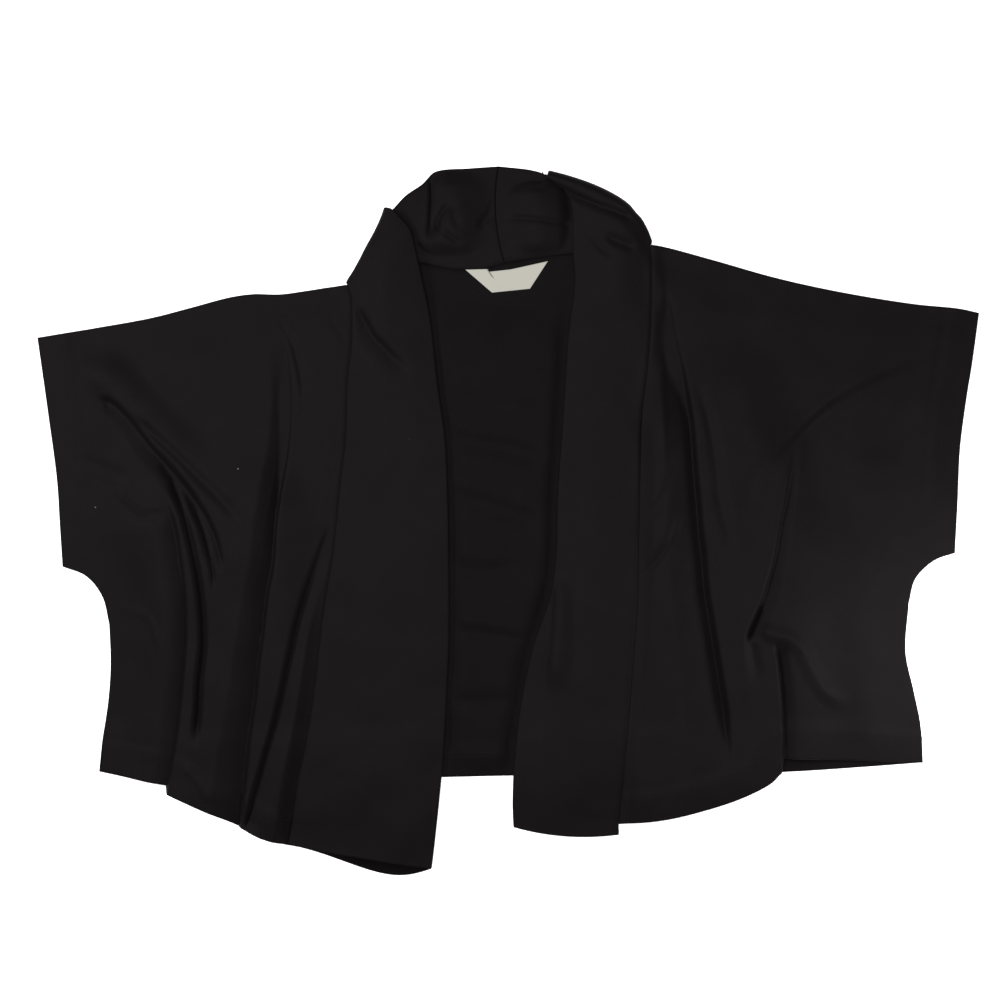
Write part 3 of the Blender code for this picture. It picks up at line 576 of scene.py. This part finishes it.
def stitches(name, lines, finish, tilt=0.0):
    """Rows of stitches half sunk in the cloth along lines of surface points and normals."""
    length, thick, pitch = STITCH
    around = np.linspace(0, 2 * math.pi, 7)[:-1]
    sections = [(-0.5, 0.15), (-0.36, 0.8), (0.0, 1.0), (0.36, 0.8), (0.5, 0.15)]
    points, faces = [], []
    for line, up in lines:
        run = np.concatenate([[0.0], np.cumsum(np.linalg.norm(np.diff(line, axis=0), axis=1))])
        for at in np.arange(pitch, run[-1] - pitch / 2, pitch):
            spot = np.array([np.interp(at, run, line[:, k]) for k in range(3)])
            ahead = np.array([np.interp(at + pitch / 2, run, line[:, k]) for k in range(3)]) - spot
            rise = np.array([np.interp(at, run, up[:, k]) for k in range(3)])
            along = ahead / max(np.linalg.norm(ahead), 1e-6)
            rise = rise - along * (rise @ along)
            rise /= np.linalg.norm(rise)
            side = np.cross(along, rise)
            along = along * math.cos(tilt) + side * math.sin(tilt)
            side = np.cross(along, rise)
            start = len(points)
            for where, size in sections:
                sink = thick * (0.12 - 0.5 * (2 * abs(where)) ** 3)
                centre = spot + along * where * length + rise * sink
                for a in around:
                    points.append(centre + (side * math.cos(a) * 0.62 + rise * math.sin(a) * 0.5) * thick * size)
            for r in range(len(sections) - 1):
                for k in range(6):
                    a, b = start + r * 6 + k, start + r * 6 + (k + 1) % 6
                    faces.append([a, b, b + 6, a + 6])
            faces.append([start + k for k in range(6)][::-1])
            faces.append([start + 6 * (len(sections) - 1) + k for k in range(6)])
    return make_mesh(name, points, faces, finish)


def level_line(grid, up, away, level, by_column, keep=slice(None)):
    """The line on a grid where the distance field takes one value, nearest the grid's last edge."""
    if not by_column:
        grid, up, away = grid.swapaxes(0, 1), up.swapaxes(0, 1), away.T
    line, rise = [], []
    for j in range(grid.shape[1])[keep]:
        field = away[:, j]
        hits = np.nonzero((field[:-1] - level) * (field[1:] - level) <= 0)[0]
        if not len(hits):
            continue
        i = hits[-1]
        f = (level - field[i]) / (field[i + 1] - field[i] or 1)
        line.append(grid[i, j] * (1 - f) + grid[i + 1, j] * f)
        rise.append(up[i, j])
    return np.array(line), np.array(rise)


def make_back(finish):
    """The back, inside up, with its turned hems and a few flat wrinkles."""
    side_right = legs((SLEEVE_EDGE_RIGHT, 44), (UNDERARM_RIGHT, 14), (SIDE_EDGE_RIGHT, 30),
                      ([SIDE_EDGE_RIGHT[-1], SIDE_FOOT_RIGHT], HEM_ROWS))
    side_left = legs((SLEEVE_EDGE_LEFT, 44), (UNDERARM_LEFT, 14), (SIDE_EDGE_LEFT, 30),
                     ([SIDE_EDGE_LEFT[-1], SIDE_FOOT_LEFT], HEM_ROWS))
    right, right_end = short_of(SHOULDER_EDGE_RIGHT, HEM_DEPTH + 2)
    left, left_end = short_of(SHOULDER_EDGE_LEFT, HEM_DEPTH + 2)
    top = legs((right_end[::-1], SLEEVE_HEM_COLUMNS), (right[::-1], SHOULDER_COLUMNS),
               (NECK_EDGE_RIGHT[::-1], NECK_ROWS // 2), (NECK_EDGE_LEFT, NECK_ROWS // 2),
               (left, SHOULDER_COLUMNS), (left_end, SLEEVE_HEM_COLUMNS))
    hem = even(BACK_HEM, len(top) - 1)
    plan = patch(top, hem, side_right, side_left)
    thick = JERSEY + TURN_UP * back_hems(plan, HEM_DEPTH, HEM_DEPTH + HEM_STEP)
    wrinkle = fold_shape(plan, FOLDS_BACK) + undulation(plan, 3, 60, 0.25)
    x, y = plan[..., 0], plan[..., 1]
    opening = ramp(x - free_edge(SECTIONS_RIGHT, y), *BACK_RISE)
    opening = opening * ramp(free_edge(SECTIONS_LEFT, y) - x, *BACK_RISE)
    opening = opening * ramp(distance(plan, BACK_HEM), 0, 20) * ramp(-y, *BELOW_LABEL)
    upper = with_height(plan, thick + np.maximum(wrinkle + BACK_LOFT, -0.4) * opening)
    piece = shell("back_cloth", upper, with_height(plan, 0 * thick), plan, finish)
    away = distance(plan, BACK_HEM)
    up = normals(upper)
    lines = [level_line(upper, up, away, level, True) for level in STITCH_LINES]
    return piece, lines


def make_front(name, hand, seam, foot, hem, step, side_foot, side, underarm, sleeve, shoulder, folds,
               sections, seed, finish):
    """One front with its half sleeve, loose over the back, its folds running off the hem."""
    inner = legs((seam, SLEEVE_ROWS + UNDERARM_ROWS + SIDE_ROWS), ([seam[-1], foot], HEM_ROWS))
    outer = legs((sleeve, SLEEVE_ROWS), (underarm, UNDERARM_ROWS), (side, SIDE_ROWS),
                 ([side[-1], side_foot], HEM_ROWS))
    upper, upper_end = short_of(shoulder, HEM_DEPTH + 2)
    top = legs((upper, FRONT_COLUMNS), (upper_end, SLEEVE_HEM_COLUMNS))
    hem_steps = len(top) - 1
    folded = round(hem_steps * HEM_PART_FOLDED)
    bottom = legs((hem, folded), ([hem[-1], step], STEP_COLUMNS),
                  ([step, side_foot], hem_steps - folded - STEP_COLUMNS))
    plan = patch(top, bottom, inner, outer)
    from_seam = distance(plan, seam + [foot])
    from_edge = distance(plan, shoulder, sleeve, underarm, side + [side_foot])
    eased = ramp(from_seam, 0, SEAM_EASE) * ramp(from_edge, 0, EDGE_EASE)
    loft = LOFT * (1 - past_hem(plan))
    loose = (loft + fold_shape(plan, folds) + undulation(plan, seed, 70, 0.5)) * eased
    beside_band = seam_row(sections, plan[:, :1, 1], "seam_up") * (1 - ramp(from_seam, 0, SEAM_EASE))
    lifted = carried(plan) + JERSEY / 2 + at_least_zero(loose) + beside_band
    middle = softened(with_height(plan, lifted), 1)
    up = normals(middle) * hand
    up[:, 0] = (0, 0, 1)
    hems = 1 - ramp(distance(plan, hem + [step, side_foot], sleeve), HEM_DEPTH, HEM_DEPTH + HEM_STEP)
    allowance = ALLOWANCE[0] * (1 - ramp(from_seam, ALLOWANCE[1] - 3, ALLOWANCE[1]))
    dip = SEAM_DIP * (1 - ramp(from_seam, 0, SEAM_ROLL))
    thick = JERSEY / 2 + TURN_UP * hems + allowance - dip
    skin = middle + up * thick[..., None]
    piece = shell(name, skin, middle - up * JERSEY / 2, plan, finish)
    lines = []
    for level in STITCH_LINES:
        lines.append(level_line(skin, up, distance(plan, hem + [step, side_foot]), level, True,
                                slice(2, len(top) - 3)))
        lines.append(level_line(skin, up, distance(plan, sleeve), level, False, slice(2, SLEEVE_ROWS - 4)))
    return piece, [line for line in lines if len(line[0]) > 2]


def across(seam, free, bow, v):
    """Points of each row from the seam to the free edge, bowed off the straight line."""
    v = v[None, :, None]
    return seam[:, None] * (1 - v) + free[:, None] * v + bow[:, None] * 4 * v * (1 - v)


def band_rows_behind(neck, behind, hand, folds):
    """Plan and height of the band's rows behind the neck, from the centre back to the shoulder."""
    seam = even(neck, NECK_ROWS)
    table = curve(np.array(behind))
    order = np.argsort(table[:, 0] * hand)
    x = seam[:, 0] * hand
    free_x, free_y, bow_x, bow_y, crown = [np.interp(x, table[order, 0] * hand, table[order, k])
                                           for k in range(1, 6)]
    seam = seam + [0.0, SEWN]
    seam[0, 0] += hand * SEWN / 2
    free_x[0] += hand * SEWN / 2
    v = np.linspace(0, 1, BAND_COLUMNS + 1)
    plan = across(seam, np.stack([free_x, free_y], 1), np.stack([bow_x, bow_y], 1), v)
    swell = fold_shape(plan, folds) + undulation(plan, 11, 40, 0.5)
    edges = np.minimum(ramp(v, 0, 0.1), 1 - ramp(v, 0.94, 1.0))[None]
    end = np.ones(len(seam))
    end[-14:] = 1 - ramp(np.arange(14), 0, 13)
    up = crown[:, None] * (4 * v * (1 - v))[None] ** 2 + swell * edges
    return with_height(plan, BAND / 2 + at_least_zero(up * end[:, None], 0.6))


def band_rows_front(seam, sections, folds, hand, seed):
    """Plan and height of the band's rows over the front, from the shoulder to its foot."""
    y = seam[:, 1]
    read = {column: seam_row(sections, y, column) for column in Section._fields[1:]}
    v = np.linspace(0, 1, BAND_COLUMNS + 1)
    free = np.stack([read["free_x"], read["free_y"]], 1)
    bow = np.stack([read["bow_x"], read["bow_y"]], 1)
    beside = np.stack([np.full(len(y), -hand * SEWN), SEWN * (1 - ramp(y[0] - y, *SHOULDER_EASE))], 1)
    plan = across(seam + beside, free, bow, v)
    rising = read["seam_up"][:, None] + (read["crown_up"] - read["seam_up"])[:, None] * ramp(v, 0, 0.5)
    falling = read["crown_up"][:, None] - (read["crown_up"] - read["free_up"])[:, None] * (2 * v - 1) ** 2
    up = np.where(v < 0.5, rising, falling)
    from_start = ramp(np.arange(len(y)), 0, 10)[:, None]
    swell = fold_shape(plan, folds) + undulation(plan, seed, 60, 0.5) * from_start
    up = up + swell * ramp(distance(plan, seam), 0, 10)
    return with_height(plan, carried(plan) + BAND / 2 + at_least_zero(up))


def band_turn(top, hand):
    """The rows that carry the band round its fold over the shoulder, from below to above."""
    half = (top[:, 2] - BAND / 2) / 2
    run = np.gradient(top[:, :2], axis=0)
    out = hand * np.stack([run[:, 1], -run[:, 0]], 1)
    out = out / np.linalg.norm(out, axis=1, keepdims=True)
    rows = []
    for angle in np.linspace(-90, 90, TURN_ROWS + 1)[1:-1] * np.pi / 180:
        plan = top[:, :2] + out * (half * np.cos(angle))[:, None]
        rows.append(np.column_stack([plan, BAND / 2 + half * (1 + np.sin(angle))]))
    return np.array(rows)


def make_band(name, hand, neck, behind, seam, foot, end, sections, folds, behind_folds, under_lap, seed,
              finish):
    """One half of the shawl band: behind the neck, over the shoulder and down the front."""
    rows = SLEEVE_ROWS + UNDERARM_ROWS + SIDE_ROWS
    edge = legs((seam, rows), ([seam[-1], foot], HEM_ROWS))
    if end != foot:
        edge = np.vstack([edge, even([foot, end], 4)[1:]])
    front = band_rows_front(edge, sections, folds, hand, seed)
    turn = band_turn(front[0], hand)
    back = band_rows_behind(neck, behind, hand, behind_folds)[:-1]
    under = front[0] * [1, 1, 0] + [0, 0, BAND / 2]
    middle = softened(np.concatenate([back, under[None], turn, front]), 1)
    up = normals(middle) * -hand
    up[-len(front) + 1:, 0] = (0, 0, 1)
    v = np.linspace(0, 1, BAND_COLUMNS + 1)
    width = np.linalg.norm(middle[:, -1] - middle[:, 0], axis=1)[:, None]
    dip = SEAM_DIP * (1 - ramp(v[None] * width, 0, SEAM_ROLL))
    on_top = np.arange(len(middle)) >= len(back) + 1
    upper = middle + up * (BAND / 2 - dip * on_top[:, None])[..., None]
    lower = middle - up * (BAND / 2 - dip * ~on_top[:, None])[..., None]
    lower[-1, :, 1] -= under_lap * np.sin(np.pi * v**UNDER_LAP_SKEW)
    for grid in (upper, lower):
        grid[..., 2] = np.maximum(grid[..., 2], 0)
    along = np.concatenate([[0], np.cumsum(np.linalg.norm(np.diff(middle[:, BAND_COLUMNS // 2], axis=0), axis=1))])
    grain = np.dstack(np.broadcast_arrays(v[None] * width.mean(), along[:, None]))
    return shell(name, upper, lower, grain, finish, parted_foot=True)


def make_label(finish):
    """The blank woven label, its upper edge caught in the neck seam and its lower edge free."""
    top = even(LABEL_TOP, LABEL_COLUMNS, smooth=False)
    foot = even(LABEL_FOOT, LABEL_COLUMNS, smooth=False)
    down = np.linspace(0, 1, LABEL_ROWS + 1)[:, None, None]
    plan = top[None] * (1 - down) + foot[None] * down
    s, t = np.linspace(0, 1, LABEL_COLUMNS + 1)[None], down[..., 0]
    lift = 0.5 * t**2 * (1 - s) ** 2 + 0.25 * np.sin(s * 5.0 + 0.6) * t
    height = JERSEY + GAP + 0.1 + np.maximum(lift, 0)
    return shell("neck_label_tape", with_height(plan, height + LABEL), with_height(plan, height), plan, finish)


def material(name, colour, roughness):
    """A Principled material, its nodes, links and shader."""
    finish = bpy.data.materials.new(name)
    finish.use_nodes = True
    nodes, links = finish.node_tree.nodes, finish.node_tree.links
    shader = nodes["Principled BSDF"]
    shader.inputs["Base Color"].default_value = (*colour, 1)
    shader.inputs["Roughness"].default_value = roughness
    return finish, nodes, links, shader


def maths(nodes, links, operation, first, second=None, third=None):
    """A math node of linked sockets or plain values."""
    node = nodes.new("ShaderNodeMath")
    node.operation = operation
    for socket, value in zip(node.inputs, (first, second, third)):
        if value is None:
            continue
        if isinstance(value, (int, float)):
            socket.default_value = value
        else:
            links.new(value, socket)
    return node.outputs[0]


def noise(nodes, links, where, size, detail=3.0, roughness=0.55):
    """A noise texture of one grain size, in metres."""
    node = nodes.new("ShaderNodeTexNoise")
    node.inputs["Scale"].default_value = 1 / size
    node.inputs["Detail"].default_value = detail
    node.inputs["Roughness"].default_value = roughness
    links.new(where, node.inputs["Vector"])
    return node.outputs["Fac"]


def knit_height(nodes, links, grain, wale, course):
    """The relief of plain knit: columns of slanted stitch legs."""
    apart = nodes.new("ShaderNodeSeparateXYZ")
    links.new(grain, apart.inputs[0])
    column = maths(nodes, links, "PINGPONG", maths(nodes, links, "DIVIDE", apart.outputs[0], wale), 0.5)
    row = maths(nodes, links, "DIVIDE", apart.outputs[1], course)
    slanted = maths(nodes, links, "ADD", row, maths(nodes, links, "MULTIPLY", column, 1.6))
    leg = maths(nodes, links, "SINE", maths(nodes, links, "MULTIPLY", slanted, 2 * math.pi))
    rib = maths(nodes, links, "SINE", maths(nodes, links, "MULTIPLY", column, 2 * math.pi))
    return maths(nodes, links, "ADD", maths(nodes, links, "MULTIPLY", leg, 0.4), rib)


def jersey_material(name, colour, specular, relief):
    """Black cotton jersey with its stitches, a soft nap, faint mottling and a few specks of lint."""
    finish, nodes, links, shader = material(name, colour, JERSEY_ROUGHNESS)
    shader.inputs["Specular IOR Level"].default_value = specular
    shader.inputs["Sheen Weight"].default_value = JERSEY_SHEEN
    shader.inputs["Sheen Roughness"].default_value = 0.55
    shader.inputs["Sheen Tint"].default_value = (1.0, 0.93, 0.96, 1)
    grain = nodes.new("ShaderNodeUVMap")
    grain.uv_map = "grain"
    place = nodes.new("ShaderNodeTexCoord").outputs["Object"]
    cloudy = noise(nodes, links, place, 0.02, 2.0)
    fuzzy = noise(nodes, links, place, 0.0022, 2.0, 0.7)
    shade = maths(nodes, links, "MULTIPLY_ADD", cloudy, 0.4, 0.62)
    shade = maths(nodes, links, "MULTIPLY_ADD", fuzzy, 0.35, shade)
    tone = nodes.new("ShaderNodeVectorMath")
    tone.operation = "SCALE"
    tone.inputs[0].default_value = colour
    links.new(shade, tone.inputs["Scale"])
    lint = nodes.new("ShaderNodeTexVoronoi")
    lint.inputs["Scale"].default_value = 1 / LINT_SPACING
    links.new(place, lint.inputs["Vector"])
    speck = maths(nodes, links, "LESS_THAN", lint.outputs["Distance"], LINT_SIZE / LINT_SPACING)
    mix = nodes.new("ShaderNodeMix")
    mix.data_type = "RGBA"
    links.new(speck, mix.inputs["Factor"])
    links.new(tone.outputs[0], mix.inputs["A"])
    mix.inputs["B"].default_value = (*LINT_COLOUR, 1)
    links.new(mix.outputs["Result"], shader.inputs["Base Color"])
    knit = knit_height(nodes, links, grain.outputs["UV"], WALE / 1000, COURSE / 1000)
    height = maths(nodes, links, "MULTIPLY_ADD", fuzzy, 1.5, knit)
    bump = nodes.new("ShaderNodeBump")
    bump.inputs["Distance"].default_value = relief / 1000
    bump.inputs["Strength"].default_value = 0.6
    links.new(height, bump.inputs["Height"])
    links.new(bump.outputs["Normal"], shader.inputs["Normal"])
    return finish


def tape_material():
    """Smooth cream woven tape, blank."""
    finish, nodes, links, shader = material("cream_tape_weave", CREAM, 0.62)
    shader.inputs["Specular IOR Level"].default_value = 0.3
    shader.inputs["Sheen Weight"].default_value = 0.1
    place = nodes.new("ShaderNodeTexCoord").outputs["Object"]
    wave = nodes.new("ShaderNodeTexWave")
    wave.bands_direction = "DIAGONAL"
    wave.inputs["Scale"].default_value = 320.0
    wave.inputs["Distortion"].default_value = 0.4
    links.new(place, wave.inputs["Vector"])
    bump = nodes.new("ShaderNodeBump")
    bump.inputs["Distance"].default_value = 0.00008
    bump.inputs["Strength"].default_value = 0.5
    links.new(wave.outputs["Fac"], bump.inputs["Height"])
    links.new(bump.outputs["Normal"], shader.inputs["Normal"])
    return finish


def make_stage():
    """White floor, even white surroundings, the soft lamps and the camera straight above."""
    floor_mesh = bpy.data.meshes.new("floor")
    reach = 3.0
    corners = [(-reach, -reach, -0.0005), (reach, -reach, -0.0005), (reach, reach, -0.0005), (-reach, reach, -0.0005)]
    floor_mesh.from_pydata(corners, [], [(0, 1, 2, 3)])
    finish, _, _, shader = material("white_floor", (0.92, 0.92, 0.92), 1.0)
    shader.inputs["Specular IOR Level"].default_value = 0.0
    shader.inputs["Emission Color"].default_value = (1, 1, 1, 1)
    shader.inputs["Emission Strength"].default_value = FLOOR_GLOW
    floor_mesh.materials.append(finish)
    floor = bpy.data.objects.new("floor", floor_mesh)
    bpy.context.collection.objects.link(floor)

    world = bpy.data.worlds.new("studio")
    bpy.context.scene.world = world
    world.use_nodes = True
    world.node_tree.nodes["Background"].inputs["Color"].default_value = (1, 1, 1, 1)
    world.node_tree.nodes["Background"].inputs["Strength"].default_value = SURROUND
    for number, setting in enumerate(LAMPS):
        lamp = bpy.data.lights.new(f"softbox_{number}", "AREA")
        lamp.shape = "DISK"
        lamp.size = setting.size
        lamp.energy = setting.power
        stand = bpy.data.objects.new(lamp.name, lamp)
        bpy.context.collection.objects.link(stand)
        stand.location = setting.place
        stand.rotation_euler = mathutils.Vector(setting.place).to_track_quat("Z", "Y").to_euler()

    camera = bpy.data.cameras.new("overhead")
    camera.sensor_width = SENSOR
    camera.lens = SENSOR * CAMERA_HEIGHT / FIELD
    overhead = bpy.data.objects.new("overhead", camera)
    bpy.context.collection.objects.link(overhead)
    overhead.location = (VIEW_CENTRE[0] / 1000, VIEW_CENTRE[1] / 1000, CAMERA_HEIGHT / 1000)
    bpy.context.scene.camera = overhead
    bpy.context.scene.view_settings.view_transform = "Standard"


def main():
    face = jersey_material("jersey_face", JERSEY_COLOUR, JERSEY_SPECULAR, 0.035)
    inside = jersey_material("jersey_inside", INSIDE_COLOUR, INSIDE_SPECULAR, 0.03)
    thread = jersey_material("black_thread", THREAD_COLOUR, JERSEY_SPECULAR, 0.05)
    back, back_lines = make_back(inside)
    right, right_lines = make_front(
        "front_right_cloth", -1, FRONT_SEAM_RIGHT, FRONT_FOOT_RIGHT, FRONT_HEM_RIGHT, FRONT_STEP_RIGHT,
        SIDE_FOOT_RIGHT, SIDE_EDGE_RIGHT, UNDERARM_RIGHT, SLEEVE_EDGE_RIGHT, SHOULDER_EDGE_RIGHT,
        FOLDS_RIGHT, SECTIONS_RIGHT, 5, face)
    left, left_lines = make_front(
        "front_left_cloth", 1, FRONT_SEAM_LEFT, FRONT_FOOT_LEFT, FRONT_HEM_LEFT, FRONT_STEP_LEFT,
        SIDE_FOOT_LEFT, SIDE_EDGE_LEFT, UNDERARM_LEFT, SLEEVE_EDGE_LEFT, SHOULDER_EDGE_LEFT,
        FOLDS_LEFT, SECTIONS_LEFT, 8, face)
    band_right = make_band("band_right_cloth", -1, NECK_EDGE_RIGHT, BEHIND_RIGHT, FRONT_SEAM_RIGHT,
                           FRONT_FOOT_RIGHT, FRONT_FOOT_RIGHT, SECTIONS_RIGHT, FOLDS_BAND_RIGHT,
                           FOLDS_BEHIND_RIGHT, UNDER_LAP, 21, face)
    band_left = make_band("band_left_cloth", 1, NECK_EDGE_LEFT, BEHIND_LEFT, FRONT_SEAM_LEFT,
                          FRONT_FOOT_LEFT, BAND_FOOT_LEFT, SECTIONS_LEFT, FOLDS_BAND_LEFT,
                          FOLDS_BEHIND_LEFT, 0.0, 34, face)
    label = make_label(tape_material())
    sewn = {"back": stitches("back_hem_stitches", back_lines, thread),
            "front_right": stitches("front_right_hem_stitches", right_lines, thread),
            "front_left": stitches("front_left_hem_stitches", left_lines, thread)}
    cloth = [(back, "back", BACK_CUT, []),
             (right, "front_right", FRONT_RIGHT_CUT, ["back_cloth"]),
             (left, "front_left", FRONT_LEFT_CUT, ["back_cloth"]),
             (band_right, "collar_band_right", BAND_RIGHT_CUT, ["back_cloth"]),
             (band_left, "collar_band_left", BAND_LEFT_CUT, ["back_cloth"]),
             (label, "neck_label", LABEL_CUT, ["back_cloth"])]
    for piece, node, cut, rests_on in cloth:
        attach(piece, "root")
        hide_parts(node)
        if node in sewn:
            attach(sewn[node], "root")
    make_stage()


main()
